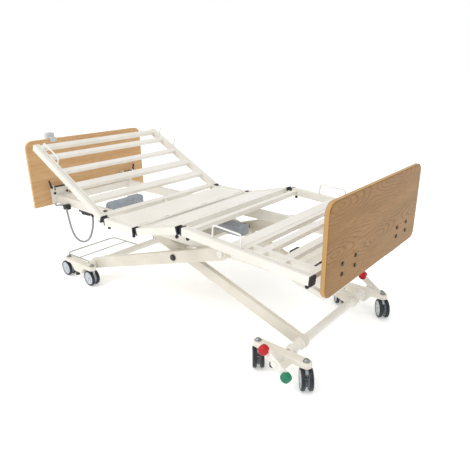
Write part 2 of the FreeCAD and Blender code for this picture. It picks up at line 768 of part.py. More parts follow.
def make_boards():
    foot = board(0, footboard_low, footboard_high, 45, 42)
    head = board(headboard_station, headboard_low, headboard_high, 50, 0)
    bolts = []
    for y, z in foot_bolt_places:
        through_foot = bolt_x(-1, board_thickness + board_plate_x, y, z, 4)
        foot = foot.cut(bolt_x(-1, 30, y, z, 4))
        button = bolt_x(-4, 0, y, z, 9)
        crown = [edge for edge in button.Edges if abs(edge.CenterOfMass.x - at(-4)) < 0.01]
        button = button.makeFillet(2.5, crown)
        bolts.append(fused([through_foot, button]))
    plate_face = headboard_station - board_plate_x
    for y, z in head_bolt_places:
        head = head.cut(bolt_x(headboard_station - 1, headboard_station + 15, y, z, 4))
        inner_head = bolt_x(plate_face - 5, plate_face, y, z, 8)
        shank = bolt_x(plate_face - 2, headboard_station + 15, y, z, 4)
        bolts.append(fused([shank, inner_head]))
    write("footboard", [foot])
    write("headboard", [head])
    write("board_bolts", bolts)


def make_board_brackets():
    """Plates behind both boards, each with four bolt holes, and latch pivots at the head."""
    plates = []
    foot_plate = box(board_thickness, board_thickness + board_plate_x, 190, 345, 440, 600)
    foot_plate = softened(foot_plate, axis_x, 12, lambda p: p.z > 599)
    wing = box(board_thickness, board_thickness + board_plate_x, 340, 412, 446, 520)
    foot_plate = foot_plate.fuse(wing).removeSplitter()
    plate_face = headboard_station - board_plate_x
    head_plate = box(plate_face, headboard_station, 202, 330, 432, 545)
    head_plate = softened(head_plate, axis_x, 14, lambda p: p.z > 544)
    for y, z in foot_bolt_places:
        foot_plate = foot_plate.cut(bolt_x(10, 40, y, z, 4))
    for y, z in head_bolt_places:
        head_plate = head_plate.cut(bolt_x(plate_face - 10, headboard_station + 1, y, z, 4))
    plates.extend(pair(foot_plate))
    for side in latch_ears():
        plates.append(fused([head_plate] + side) if side[0].BoundBox.YMin > 0 else
                      fused([mirrored(head_plate)] + side))
    return plates


def latch_ears():
    """Two small lugs on each head plate that carry the latch's rod."""
    lugs = []
    for y in (234.0, 322.0):
        lug = box(latch_station - 12, headboard_station - board_plate_x + 1, y, y + 6, 520, 562)
        lug = softened(lug, axis_y, 10, lambda p: p.x > at(latch_station))
        lugs.append(lug.cut(rod(latch_station, y - 4, y + 10, latch_z, 5)))
    return [lugs, [mirrored(lug) for lug in lugs]]


def latch():
    """Black rod across the head bracket with a thumb lever on its outer end."""
    bar = rod(latch_station, 228, 334, latch_z, 5 - running_gap)
    hub = rod(latch_station, 328.4, 338, latch_z, 9)
    grip = box(latch_station - 5, latch_station + 5, 329, 337, latch_z, latch_z + 50)
    grip = softened(grip, axis_y, 4, lambda p: p.z > latch_z + 49)
    grip.rotate(Vector(at(latch_station), 331, latch_z), axis_x, -14)
    return fused([bar, hub, grip])


# ---- drives ---------------------------------------------------------------------------
def make_drives():
    """Motor units fixed under the frame, and the rods that they push and pull."""
    lever_z = upper_pin_z - lift_lever
    motor = box(275, 425, -42, 42, lever_z - 26, 432)
    motor = softened(motor, axis_x, 12)
    sleeve = Part.makeCylinder(17, 120, Vector(at(545), 0, lever_z), axis_x)
    strut = box(240, 262, -16, 16, 400, 440)
    ledge = box(240, 285, -16, 16, 400, 418)
    bore = Part.makeCylinder(11.1, 155, Vector(at(555), 0, lever_z), axis_x)
    write("lift_motor", [fused([motor, sleeve, strut, ledge]).cut(bore)])
    rod_bar = Part.makeCylinder(11, 175, Vector(at(foot_pin_station - 20), 0, lever_z), axis_x)
    fork = box(foot_pin_station - 24, foot_pin_station + 22, -18, 18, lever_z - 12, lever_z + 12)
    window = box(foot_pin_station - 11.5, foot_pin_station + 11.5, -8.5, 8.5, lever_z - 20, lever_z + 20)
    write("lift_rod", [fused([rod_bar, fork]).cut(window)])

    lever_z = top_hinge_z - knee_lever
    motor = softened(box(742, 915, -40, 40, 428, 486), axis_x, 12)
    hanger = box(915, 1098, 30, 38, 458, 484)
    hook = box(1080, 1098, 30, 38, 458, 503)
    tie = box(1086, 1098, -38, 38, 497, 503)
    sleeve = Part.makeCylinder(15, 75, Vector(at(985), 0, lever_z), axis_x)
    bore = Part.makeCylinder(9.1, 200, Vector(at(990), 0, lever_z), axis_x)
    write("knee_motor", [fused([motor, sleeve, tie] + pair(hanger) + pair(hook)).cut(bore)])
    rod_bar = Part.makeCylinder(9, 165, Vector(at(1060), 0, lever_z), axis_x)
    fork = box(thigh_station - 22, thigh_station + 20, -17, 17, lever_z - 10, lever_z + 10)
    window = box(thigh_station - 11, thigh_station + 11, -8.5, 8.5, lever_z - 20, lever_z + 20)
    write("knee_rod", [fused([rod_bar, fork]).cut(window)])

    lever_z = top_hinge_z - backrest_lever
    drum = Part.makeCylinder(38, 250, Vector(at(1672), -205, 457), axis_y)
    closed_end = [edge for edge in drum.Edges if abs(edge.CenterOfMass.y + 205) < 1 and edge.Closed]
    drum = drum.makeFillet(16, closed_end)
    gear = softened(box(1636, 1708, -30, 46, 388, 495), axis_y, 14)
    sleeve = Part.makeCylinder(17, 130, Vector(at(1650), 0, lever_z), axis_x)
    saddle = softened(box(1655, 1689, 1 - frame_y[0], -190, 446, 462), axis_x, 3)
    bore = Part.makeCylinder(10.1, 240, Vector(at(1740), 0, lever_z), axis_x)
    write("backrest_motor", [fused([drum, gear, sleeve, saddle]).cut(bore)])
    rod_bar = Part.makeCylinder(10, 290, Vector(at(1650), 0, lever_z), axis_x)
    fork = box(backrest_station - 30, backrest_station + 32, -18, 18, lever_z - 10, lever_z + 10)
    window = box(backrest_station - 20, backrest_station + 20, -8.5, 8.5, lever_z - 20, lever_z + 20)
    write("backrest_rod", [fused([rod_bar, fork]).cut(window)])


# ---- handset and its cord -------------------------------------------------------------
cord_points = [(1565, -390, 470), (1557, -395, 446), (1555, -405, 404), (1563, -417, 358), (1589, -424, 325),
               (1638, -425, 303), (1691, -425, 301), (1740, -422, 321), (1796, -404, 352), (1860, -374, 379),
               (1922, -345, 406), (1966, -324, 424), (2004, -313, 434), (2054, -309, 432), (2098, -304, 420),
               (2136, -298, 409), (2166, -290, 415), (2186, -282, 446), (2191, -273, 506), (2189, -267, 576),
               (2183, -264, 640), (2173, -262, 698), (2166, -262, 752)]


def handset_cord():
    """Cord from the gland, in a loop to the clip on the rail, under the headboard to the handset."""
    points = [Vector(at(s), y, z) for s, y, z in cord_points]
    runs = [points[i].distanceToPoint(points[i + 1]) for i in range(len(points) - 1)]
    bends = []
    for i in range(1, len(points) - 1):
        before = points[i].sub(points[i - 1])
        after = points[i + 1].sub(points[i])
        turn = before.getAngle(after)
        bends.append(0.45 * min(runs[i - 1], runs[i]) / math.tan(turn / 2))
    print("cord runs ", " ".join("%.0f" % run for run in runs))
    print("cord radii", " ".join("%.0f" % bend for bend in bends))
    solid = pipe(points, cord_radius, bends)
    length = solid.Volume / (math.pi * cord_radius ** 2)
    print("cord length %.0f, runs added up %.0f" % (length, sum(runs)))
    return solid


def make_handset():
    """Hand control hooked over the headboard, its cord, and what holds the cord on the frame."""
    y = handset_y
    back = headboard_station + board_thickness
    body = box(back + 1, back + 38, y - 27, y + 27, handset_low, handset_high)
    body = softened(body, axis_x, 12)
    rim = [edge for edge in body.Edges if abs(edge.CenterOfMass.x - at(back + 38)) < 0.01]
    body = body.makeFillet(6, rim)
    hook_top = headboard_high + 8
    inner_face = headboard_station - 2
    hook = box(headboard_station - 6, back + 10, y - 22, y + 22, headboard_high + 1, hook_top)
    lip = box(inner_face - 6, inner_face, y - 22, y + 22, headboard_high - 20, hook_top)
    write("handset", [fused([body, hook, lip])])
    write("handset_cord", [handset_cord()])
    gland = post(gland_station, gland_y, 470, 484, 9)
    arm_plate = box(gland_station - 12, gland_station + 12, gland_y - 12, -frame_y[1], 478, 484)
    arm_plate = softened(arm_plate, axis_z, 8, lambda p: p.y < gland_y)
    clip = softened(box(1962, 1994, -330, -frame_y[1], 416, 448), axis_x, 5, lambda p: p.y < -329)
    hole = pipe([Vector(at(s), y_, z) for s, y_, z in cord_points[9:15]], cord_radius + 0.3, [60, 60, 60, 60])
    write("cord_fittings", [fused([gland, arm_plate]), clip.cut(hole), junction_box()])


def junction_box():
    """Dark box for the motors' cables, hung under the right side rail."""
    low, high = frame_y[0] + 3, frame_y[1] - 3
    outline = [(1738, 430), (1738, 422), (1764, 407), (1842, 403), (1852, 411), (1852, 430)]
    points = [Vector(at(s), -low, z) for s, z in outline]
    shell = Part.Face(Part.makePolygon(points + [points[0]])).extrude(Vector(0, low - high, 0))
    relief = bolt_x(1850, 1886, -(low + high) / 2, 418, 6)
    return fused([softened(shell, axis_y, 3), relief])


def main():
    os.makedirs("parts", exist_ok=True)
    make_bases()
    make_casters()
    write("base_wire_rack", [base_rack()])
    make_brake()
    make_scissor()
    make_seat()
    make_backrest()
    make_thigh()
    make_calf()
    make_boards()
    write("board_brackets", make_board_brackets())
    write("latch_levers", pair(latch()))
    make_drives()
    make_handset()


main()
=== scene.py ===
import json
import math
import bpy
import bmesh
from mathutils import Matrix, Vector

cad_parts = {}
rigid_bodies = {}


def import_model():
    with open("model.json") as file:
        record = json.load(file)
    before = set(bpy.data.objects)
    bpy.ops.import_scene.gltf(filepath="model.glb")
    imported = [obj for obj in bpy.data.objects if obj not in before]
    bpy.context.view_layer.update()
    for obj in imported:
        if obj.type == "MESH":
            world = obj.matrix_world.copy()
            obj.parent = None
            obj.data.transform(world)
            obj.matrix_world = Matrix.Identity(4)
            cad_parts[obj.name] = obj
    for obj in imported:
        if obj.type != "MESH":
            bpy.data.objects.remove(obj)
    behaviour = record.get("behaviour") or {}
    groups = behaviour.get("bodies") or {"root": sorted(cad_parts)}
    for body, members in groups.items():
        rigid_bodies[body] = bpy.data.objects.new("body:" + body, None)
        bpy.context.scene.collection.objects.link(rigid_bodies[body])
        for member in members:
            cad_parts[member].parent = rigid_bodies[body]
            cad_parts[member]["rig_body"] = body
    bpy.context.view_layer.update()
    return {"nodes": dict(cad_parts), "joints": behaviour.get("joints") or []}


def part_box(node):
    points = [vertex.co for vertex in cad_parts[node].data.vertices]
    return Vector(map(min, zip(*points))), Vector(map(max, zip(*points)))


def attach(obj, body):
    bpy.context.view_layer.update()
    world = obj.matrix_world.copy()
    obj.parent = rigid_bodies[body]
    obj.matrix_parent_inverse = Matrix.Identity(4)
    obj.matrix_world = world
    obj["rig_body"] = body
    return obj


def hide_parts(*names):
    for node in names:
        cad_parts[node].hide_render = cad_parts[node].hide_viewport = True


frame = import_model()
nodes = frame["nodes"]
joints = {joint["name"]: joint for joint in frame["joints"]}
mm = 0.001


camera = {
    "place": (1.817, -1.824, 1.296),
    "turn": 40.07,       # degrees to the left of +Y
    "tilt": 20.27,       # degrees down
    "roll": -0.56,
    "lens": 35.36,
    "sensor": 36,
}


def makeCamera(look):
    turn, tilt = math.radians(look["turn"]), math.radians(look["tilt"])
    ahead = Vector((-math.sin(turn) * math.cos(tilt), math.cos(turn) * math.cos(tilt), -math.sin(tilt)))
    right = ahead.cross(Vector((0, 0, 1))).normalized()
    up = right.cross(ahead)
    level = Matrix((right, up, -ahead)).transposed().to_4x4()
    roll = Matrix.Rotation(math.radians(look["roll"]), 4, "Z")
    data = bpy.data.cameras.new("studioCamera")
    data.lens = look["lens"]
    data.sensor_width = look["sensor"]
    holder = bpy.data.objects.new("studioCamera", data)
    bpy.context.scene.collection.objects.link(holder)
    holder.matrix_world = Matrix.Translation(look["place"]) @ level @ roll
    bpy.context.scene.camera = holder


makeCamera(camera)
print("camera set")


def toLinear(hexCode):
    shares = [int(hexCode[i:i + 2], 16) / 255 for i in (1, 3, 5)]
    return [s / 12.92 if s <= 0.04045 else ((s + 0.055) / 1.055) ** 2.4 for s in shares] + [1.0]


def addNode(tree, kind, inputs=None, **settings):
    # an input takes a node (its first output), a socket, a hex colour or a plain value
    made = tree.nodes.new(kind)
    for key, value in settings.items():
        setattr(made, key, value)
    for key, value in (inputs or {}).items():
        if isinstance(value, bpy.types.Node):
            tree.links.new(value.outputs[0], made.inputs[key])
        elif isinstance(value, bpy.types.NodeSocket):
            tree.links.new(value, made.inputs[key])
        elif isinstance(value, str):
            made.inputs[key].default_value = toLinear(value)
        else:
            made.inputs[key].default_value = value
    return made


def newMaterial(name):
    material = bpy.data.materials.new(name)
    material.use_nodes = True
    tree = material.node_tree
    tree.nodes.clear()
    return material, tree, addNode(tree, "ShaderNodeTexCoord")


def showSurface(tree, inputs):
    shader = addNode(tree, "ShaderNodeBsdfPrincipled", inputs)
    addNode(tree, "ShaderNodeOutputMaterial", {"Surface": shader})


def perMetreOf(periodMm):
    return 1.0 / (periodMm * mm)


noiseSpan = {"From Min": 0.3, "From Max": 0.7}     # nearly all of a noise's values lie in here


def powderCoat(name, look):
    # Steel sprayed with polyester powder and baked: a warm satin white whose faint orange peel breaks
    # the highlights, a touch greyer where hands and boots rub it.
    material, tree, place = newMaterial(name)
    cloud = addNode(tree, "ShaderNodeTexNoise", {
        "Vector": place.outputs["Object"], "Scale": perMetreOf(look["cloudMm"]),
        "Detail": 3.0, "Roughness": 0.55})
    share = addNode(tree, "ShaderNodeMapRange", {"Value": cloud, **noiseSpan})
    tint = addNode(tree, "ShaderNodeMix", {0: share, 6: look["light"], 7: look["dark"]}, data_type="RGBA")
    rub = addNode(tree, "ShaderNodeTexNoise", {
        "Vector": place.outputs["Object"], "Scale": perMetreOf(look["rubMm"]),
        "Detail": 5.0, "Roughness": 0.65})
    marks = addNode(tree, "ShaderNodeMapRange", {
        "Value": rub, "From Min": 0.56, "From Max": 0.72, "To Max": look["wear"]})
    colour = addNode(tree, "ShaderNodeMix", {
        0: marks, 6: tint.outputs[2], 7: look["rubbed"]}, data_type="RGBA")
    gloss = addNode(tree, "ShaderNodeMapRange", {
        "Value": rub, **noiseSpan, "To Min": look["gloss"] - 0.05, "To Max": look["gloss"] + 0.09})
    peel = addNode(tree, "ShaderNodeTexNoise", {
        "Vector": place.outputs["Object"], "Scale": perMetreOf(look["peelMm"]),
        "Detail": 2.0, "Roughness": 0.5})
    bump = addNode(tree, "ShaderNodeBump", {
        "Height": peel, "Distance": look["peelDeepMm"] * mm, "Strength": 0.6})
    showSurface(tree, {
        "Base Color": colour.outputs[2], "Roughness": gloss, "Normal": bump,
        "IOR": 1.5, "Specular IOR Level": 0.5})
    return material


ivorySteel = powderCoat("ivoryPowderCoatTube", {
    "light": "#EFECE4", "dark": "#E7E3D8", "rubbed": "#D6D0C3", "cloudMm": 210, "rubMm": 38, "wear": 0.14,
    "gloss": 0.36, "peelMm": 2.6, "peelDeepMm": 0.05})
# sand casting under the coat, so the surface rolls more
ivoryCasting = powderCoat("ivoryPowderCoatCasting", {
    "light": "#EBE7DC", "dark": "#E0DACC", "rubbed": "#CCC5B6", "cloudMm": 90, "rubMm": 38, "wear": 0.22,
    "gloss": 0.42, "peelMm": 4.5, "peelDeepMm": 0.16})
ivorySheet = powderCoat("ivoryPowderCoatSheet", {
    "light": "#F1EEE7", "dark": "#E9E5DB", "rubbed": "#D9D3C7", "cloudMm": 260, "rubMm": 38, "wear": 0.1,
    "gloss": 0.33, "peelMm": 2.2, "peelDeepMm": 0.04})
shadedArmSteel = powderCoat("ivoryPowderCoatArmPaintedShade", {
    "light": "#E6E0D3", "dark": "#DAD3C4", "rubbed": "#C5BCAB", "cloudMm": 180, "rubMm": 38, "wear": 0.2,
    "gloss": 0.34, "peelMm": 2.8, "peelDeepMm": 0.06})     # painted shade: the arms sit low in the shade under the deck, so this copy of the frame's coat is painted darker and yellower
rackCoat = powderCoat("greyWhitePowderCoatWire", {
    "light": "#C9CAC6", "dark": "#B4B5B0", "rubbed": "#8F8F8A", "cloudMm": 60, "rubMm": 38, "wear": 0.5,
    "gloss": 0.38, "peelMm": 1.8, "peelDeepMm": 0.04})
loopCoat = powderCoat("whitePowderCoatWire", {
    "light": "#F4F3EE", "dark": "#E8E6DF", "rubbed": "#CFCCC3", "cloudMm": 70, "rubMm": 38, "wear": 0.3,
    "gloss": 0.34, "peelMm": 1.8, "peelDeepMm": 0.04})


poreDeepMm = 0.12     # depth of the pressed pores


def oakLaminate(name, look):
    # Chipboard pressed with an oak-printed laminate, satin: level grain that closes into cathedral arches
    # where the log was sawn flat, open pores as short dark dashes, and a paler moulded strip round the edge.
    material, tree, place = newMaterial(name)
    # grain runs across the board: its length and width in millimetres, then detail and roughness
    streaks = {
        "swirl": (330, 120, 2.0, 0.45), "jitter": (60, 9, 3.0, 0.55), "tone": (420, 60, 2.0, 0.5),
        "fibre": (60, look["fibreMm"], 3.0, 0.6), "pores": (16, 1.2, 1.0, 0.4), "fade": (190, 45, 2.0, 0.5)}
    grain = {}
    for key, (longMm, wideMm, detail, rough) in streaks.items():
        stretch = addNode(tree, "ShaderNodeMapping", {
            "Vector": place.outputs["Object"], "Scale": (1.0, perMetreOf(longMm), perMetreOf(wideMm))})
        grain[key] = addNode(tree, "ShaderNodeTexNoise", {
            "Vector": stretch, "Scale": 1.0, "Detail": detail, "Roughness": rough})
    push = addNode(tree, "ShaderNodeVectorMath", {
        0: grain["swirl"].outputs[1], 1: look["sway"], 2: [-v / 2 for v in look["sway"]]},
        operation="MULTIPLY_ADD")
    bent = addNode(tree, "ShaderNodeVectorMath", {0: place.outputs["Object"], 1: push}, operation="ADD")
    # growth rings round each flat-sawn heart, long ovals that run into one another
    level = None
    for heartY, heartZ in look["hearts"]:
        oval = addNode(tree, "ShaderNodeMapping", {
            "Vector": bent, "Scale": (0.0, 1.0 / look["oval"], 1.0),
            "Location": (0.0, -heartY / look["oval"], -heartZ)})
        reach = addNode(tree, "ShaderNodeVectorMath", {0: oval}, operation="LENGTH").outputs["Value"]
        if level is None:
            level = reach
        else:
            level = addNode(tree, "ShaderNodeMath", {
                0: level, 1: reach, 2: look["merge"]}, operation="SMOOTH_MIN")
    # the arches are dense round a heart and thin out into plain straight grain
    close = addNode(tree, "ShaderNodeMapRange", {
        "Value": level, "From Min": look["heartMm"] * 0.3 * mm, "From Max": look["heartMm"] * mm,
        "To Min": 1.0, "To Max": look["plain"]})
    count = addNode(tree, "ShaderNodeMath", {0: level, 1: perMetreOf(look["ringMm"])}, operation="MULTIPLY")
    wobble = addNode(tree, "ShaderNodeMath", {0: grain["jitter"], 1: look["wobble"]}, operation="MULTIPLY")
    count = addNode(tree, "ShaderNodeMath", {0: count, 1: wobble}, operation="ADD")
    count = addNode(tree, "ShaderNodeMath", {0: count}, operation="FRACT")
    band = addNode(tree, "ShaderNodeValToRGB", {"Fac": count})
    for spot, shade in ((0.0, 0.2), (1.0, 0.2), (0.14, 0.0), (0.6, 0.06), (0.8, 0.55), (0.91, 1.0)):
        # early wood is pale, and late wood darkens towards the next ring
        marks = band.color_ramp.elements
        mark = marks[int(spot)] if spot in (0.0, 1.0) else marks.new(spot)
        mark.color = (shade, shade, shade, 1.0)
    share = addNode(tree, "ShaderNodeMapRange", {"Value": grain["tone"], **noiseSpan})
    wood = addNode(tree, "ShaderNodeMix", {0: share, 6: look["light"], 7: look["middle"]}, data_type="RGBA")
    share = addNode(tree, "ShaderNodeMapRange", {
        "Value": grain["fibre"], "From Min": 0.35, "From Max": 0.75, "To Max": look["fibre"]})
    wood = addNode(tree, "ShaderNodeMix", {0: share, 6: wood.outputs[2], 7: look["dark"]}, data_type="RGBA")
    fade = addNode(tree, "ShaderNodeMapRange", {"Value": grain["fade"], **noiseSpan, "To Min": 0.35})
    strength = addNode(tree, "ShaderNodeMath", {0: band, 1: look["ringDark"]}, operation="MULTIPLY")
    fade = addNode(tree, "ShaderNodeMath", {0: fade, 1: close}, operation="MULTIPLY")
    strength = addNode(tree, "ShaderNodeMath", {0: strength, 1: fade}, operation="MULTIPLY")
    wood = addNode(tree, "ShaderNodeMix", {
        0: strength, 6: wood.outputs[2], 7: look["dark"]}, data_type="RGBA")
    pits = addNode(tree, "ShaderNodeMapRange", {
        "Value": grain["pores"], "From Min": 0.6, "From Max": 0.72, "To Max": 0.5})
    share = addNode(tree, "ShaderNodeMath", {0: band, 1: 0.3}, operation="ADD")
    share = addNode(tree, "ShaderNodeMath", {0: pits, 1: share}, operation="MULTIPLY")
    wood = addNode(tree, "ShaderNodeMix", {0: share, 6: wood.outputs[2], 7: look["pore"]}, data_type="RGBA")
    # the strip shows wherever the surface looks away from the bed's long axis
    share = addNode(tree, "ShaderNodeMapRange", {
        "Value": grain["fibre"], "From Min": 0.3, "From Max": 0.8, "To Max": 0.5})
    strip = addNode(tree, "ShaderNodeMix", {
        0: share, 6: look["edge"], 7: look["edgeDark"]}, data_type="RGBA")
    outward = addNode(tree, "ShaderNodeSeparateXYZ", {0: place.outputs["Normal"]})
    outward = addNode(tree, "ShaderNodeMath", {0: outward}, operation="ABSOLUTE")
    onFace = addNode(tree, "ShaderNodeMapRange", {"Value": outward, "From Min": 0.45, "From Max": 0.6})
    colour = addNode(tree, "ShaderNodeMix", {
        0: onFace, 6: strip.outputs[2], 7: wood.outputs[2]}, data_type="RGBA")
    gloss = addNode(tree, "ShaderNodeMapRange", {"Value": band, "To Min": 0.4, "To Max": 0.5})
    relief = addNode(tree, "ShaderNodeMath", {0: pits, 1: 0.8}, operation="MULTIPLY")
    relief = addNode(tree, "ShaderNodeMath", {0: 1.0, 1: relief}, operation="SUBTRACT")
    sunk = addNode(tree, "ShaderNodeMath", {0: band, 1: 0.3}, operation="MULTIPLY")
    relief = addNode(tree, "ShaderNodeMath", {0: relief, 1: sunk}, operation="SUBTRACT")
    bump = addNode(tree, "ShaderNodeBump", {"Height": relief, "Distance": poreDeepMm * mm, "Strength": 0.5})
    showSurface(tree, {
        "Base Color": colour.outputs[2], "Roughness": gloss, "Normal": bump, "IOR": 1.45,
        "Specular IOR Level": 0.28, "Coat Weight": 0.03, "Coat Roughness": 0.3})
    return material


footOak = oakLaminate("oakLaminateSatinFootboard", {
    "light": "#A97E47", "middle": "#986F38", "dark": "#62431A", "pore": "#4C3314",
    "edge": "#C29A64", "edgeDark": "#AE8550",
    "sway": (0.0, 0.16, 0.06), "oval": 4.2, "merge": 0.05, "heartMm": 90, "plain": 0.22,
    "hearts": ((-0.02, 0.605), (-0.39, 0.637), (0.17, 0.835), (-0.385, 0.826), (0.44, 0.63)),
    "ringMm": 12.0, "wobble": 0.55, "fibreMm": 3.0, "fibre": 0.5, "ringDark": 0.8})
headOak = oakLaminate("oakLaminateSatinHeadboard", {
    "light": "#DFB98C", "middle": "#D2A777", "dark": "#AB7C4A", "pore": "#8F6738",
    "edge": "#E6C393", "edgeDark": "#D0A672",
    "sway": (0.0, 0.24, 0.07), "oval": 8.0, "merge": 0.05, "heartMm": 260, "plain": 0.45,
    "hearts": ((0.5, 0.36), (-0.7, 0.98)),
    "ringMm": 24.0, "wobble": 0.5, "fibreMm": 4.2, "fibre": 0.4, "ringDark": 0.5})


polishMm = 55     # across one patch of handling polish


def mouldedPlastic(name, look):
    # Injection-moulded plastic with a fine spark-eroded grain: even colour, soft wide highlights, and
    # handling polish that shows as slightly glossier patches. The grain is drawn coarser than the
    # real tenth of a millimetre, so that it shows.
    material, tree, place = newMaterial(name)
    cloud = addNode(tree, "ShaderNodeTexNoise", {
        "Vector": place.outputs["Object"], "Scale": perMetreOf(polishMm),
        "Detail": 3.0, "Roughness": 0.5})
    share = addNode(tree, "ShaderNodeMapRange", {"Value": cloud, **noiseSpan})
    tint = addNode(tree, "ShaderNodeMix", {0: share, 6: look["light"], 7: look["dark"]}, data_type="RGBA")
    gloss = addNode(tree, "ShaderNodeMapRange", {
        "Value": cloud, **noiseSpan, "To Min": look["gloss"] - 0.06, "To Max": look["gloss"] + 0.08})
    grain = addNode(tree, "ShaderNodeTexNoise", {
        "Vector": place.outputs["Object"], "Scale": perMetreOf(look["grainMm"]),
        "Detail": 2.0, "Roughness": 0.6})
    bump = addNode(tree, "ShaderNodeBump", {
        "Height": grain, "Distance": look["grainDeepMm"] * mm, "Strength": 0.5})
    showSurface(tree, {"Base Color": tint.outputs[2], "Roughness": gloss, "Normal": bump, "IOR": 1.5})
    return material


blackNylon = mouldedPlastic("nylonMouldedBlack", {
    "light": "#1C1E23", "dark": "#121317", "gloss": 0.42, "grainMm": 0.9, "grainDeepMm": 0.05})
blackHousing = mouldedPlastic("absMouldedBlack", {
    "light": "#202125", "dark": "#151619", "gloss": 0.38, "grainMm": 1.1, "grainDeepMm": 0.06})
greyHousing = mouldedPlastic("absMouldedBlueGrey", {
    "light": "#A6AEB7", "dark": "#959DA7", "gloss": 0.4, "grainMm": 1.1, "grainDeepMm": 0.06})
handsetAbs = mouldedPlastic("absMouldedPaleGrey", {
    "light": "#D7D9D8", "dark": "#C9CBCB", "gloss": 0.36, "grainMm": 1.0, "grainDeepMm": 0.05})
casterNylon = mouldedPlastic("nylonMouldedPaleGrey", {
    "light": "#CBD2D8", "dark": "#B9C1C9", "gloss": 0.34, "grainMm": 1.0, "grainDeepMm": 0.04})
keyRubber = mouldedPlastic("siliconeKeysDarkBlue", {
    "light": "#3E4C63", "dark": "#343F54", "gloss": 0.5, "grainMm": 0.7, "grainDeepMm": 0.03})
rollerNylon = mouldedPlastic("nylonTurnedWhite", {
    "light": "#E6E5DD", "dark": "#D6D4C9", "gloss": 0.3, "grainMm": 1.6, "grainDeepMm": 0.05})


bloom = {"mm": 0.8, "deepMm": 0.05}


def mouldedRubber(name, look):
    # Compression-moulded rubber: matt with a faint bloom, slightly dusty where it meets the floor or a shoe.
    material, tree, place = newMaterial(name)
    dust = addNode(tree, "ShaderNodeTexNoise", {
        "Vector": place.outputs["Object"], "Scale": perMetreOf(look["dustMm"]),
        "Detail": 4.0, "Roughness": 0.6})
    share = addNode(tree, "ShaderNodeMapRange", {
        "Value": dust, "From Min": 0.45, "From Max": 0.75, "To Max": look["dusty"]})
    tint = addNode(tree, "ShaderNodeMix", {0: share, 6: look["light"], 7: look["dusted"]}, data_type="RGBA")
    gloss = addNode(tree, "ShaderNodeMapRange", {
        "Value": dust, **noiseSpan, "To Min": look["gloss"], "To Max": look["gloss"] + 0.15})
    grain = addNode(tree, "ShaderNodeTexNoise", {
        "Vector": place.outputs["Object"], "Scale": perMetreOf(bloom["mm"]),
        "Detail": 2.0, "Roughness": 0.6})
    bump = addNode(tree, "ShaderNodeBump", {
        "Height": grain, "Distance": bloom["deepMm"] * mm, "Strength": 0.6})
    showSurface(tree, {"Base Color": tint.outputs[2], "Roughness": gloss, "Normal": bump, "IOR": 1.52})
    return material


treadRubber = mouldedRubber("polyurethaneTreadBlack", {
    "light": "#14161B", "dusted": "#35373B", "gloss": 0.38, "dustMm": 14, "dusty": 0.5})
redRubber = mouldedRubber("rubberMouldedRed", {
    "light": "#C20012", "dusted": "#A31A22", "gloss": 0.4, "dustMm": 11, "dusty": 0.45})
greenRubber = mouldedRubber("rubberMouldedGreen", {
    "light": "#07805B", "dusted": "#2B7A60", "gloss": 0.4, "dustMm": 11, "dusty": 0.45})
footRubber = mouldedRubber("rubberMouldedDarkGrey", {
    "light": "#2A2B2D", "dusted": "#4A4A48", "gloss": 0.55, "dustMm": 12, "dusty": 0.5})
cordSheath = mouldedRubber("pvcSheathGrey", {
    "light": "#8C8E90", "dusted": "#9C9D9C", "gloss": 0.34, "dustMm": 30, "dusty": 0.4})


turned = {"smearMm": 22, "deepMm": 0.04}


def bareMetal(name, look):
    # Steel left bare or plated: fine turning lines round the part, drawn coarser than real ones so that
    # they show, and a few darker handling smears.
    material, tree, place = newMaterial(name)
    smear = addNode(tree, "ShaderNodeTexNoise", {
        "Vector": place.outputs["Object"], "Scale": perMetreOf(turned["smearMm"]),
        "Detail": 4.0, "Roughness": 0.6})
    share = addNode(tree, "ShaderNodeMapRange", {"Value": smear, **noiseSpan})
    tint = addNode(tree, "ShaderNodeMix", {0: share, 6: look["light"], 7: look["dark"]}, data_type="RGBA")
    gloss = addNode(tree, "ShaderNodeMapRange", {
        "Value": smear, **noiseSpan, "To Min": look["gloss"] - 0.06, "To Max": look["gloss"] + 0.12})
    stretch = addNode(tree, "ShaderNodeMapping", {
        "Vector": place.outputs["Object"], "Scale": look["lines"]})
    lines = addNode(tree, "ShaderNodeTexNoise", {
        "Vector": stretch, "Scale": 1.0, "Detail": 2.0, "Roughness": 0.5})
    bump = addNode(tree, "ShaderNodeBump", {
        "Height": lines, "Distance": turned["deepMm"] * mm, "Strength": 0.35})
    showSurface(tree, {"Base Color": tint.outputs[2], "Roughness": gloss, "Normal": bump, "Metallic": 1.0})
    return material


# "lines" is how many turning lines a metre holds along each axis
chromeRod = bareMetal("steelHardChromed", {
    "light": "#DCDEE0", "dark": "#B9BCC0", "gloss": 0.16, "lines": (perMetreOf(0.9), 40.0, 40.0)})
zincBolt = bareMetal("steelZincPlatedDark", {
    "light": "#5A5550", "dark": "#3A3632", "gloss": 0.38, "lines": (perMetreOf(1.0), perMetreOf(1.0), 60.0)})
domeZinc = bareMetal("steelZincPlatedSatin", {
    "light": "#A9ABAC", "dark": "#8A8C8D", "gloss": 0.34, "lines": (60.0, 60.0, perMetreOf(0.8))})
print("materials made")


def newPiece(name, mesh, material, body, standsFor=(), sharpAngle=38):
    mesh.materials.clear()
    mesh.materials.append(material)
    mesh.shade_smooth()
    mesh.set_sharp_from_angle(angle=math.radians(sharpAngle))
    piece = bpy.data.objects.new(name, mesh)
    bpy.context.scene.collection.objects.link(piece)
    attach(piece, body)
    if standsFor:
        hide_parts(*standsFor)
    return piece


def finished(name, bm):
    bmesh.ops.recalc_face_normals(bm, faces=bm.faces)
    mesh = bpy.data.meshes.new(name)
    bm.to_mesh(mesh)
    bm.free()
    return mesh


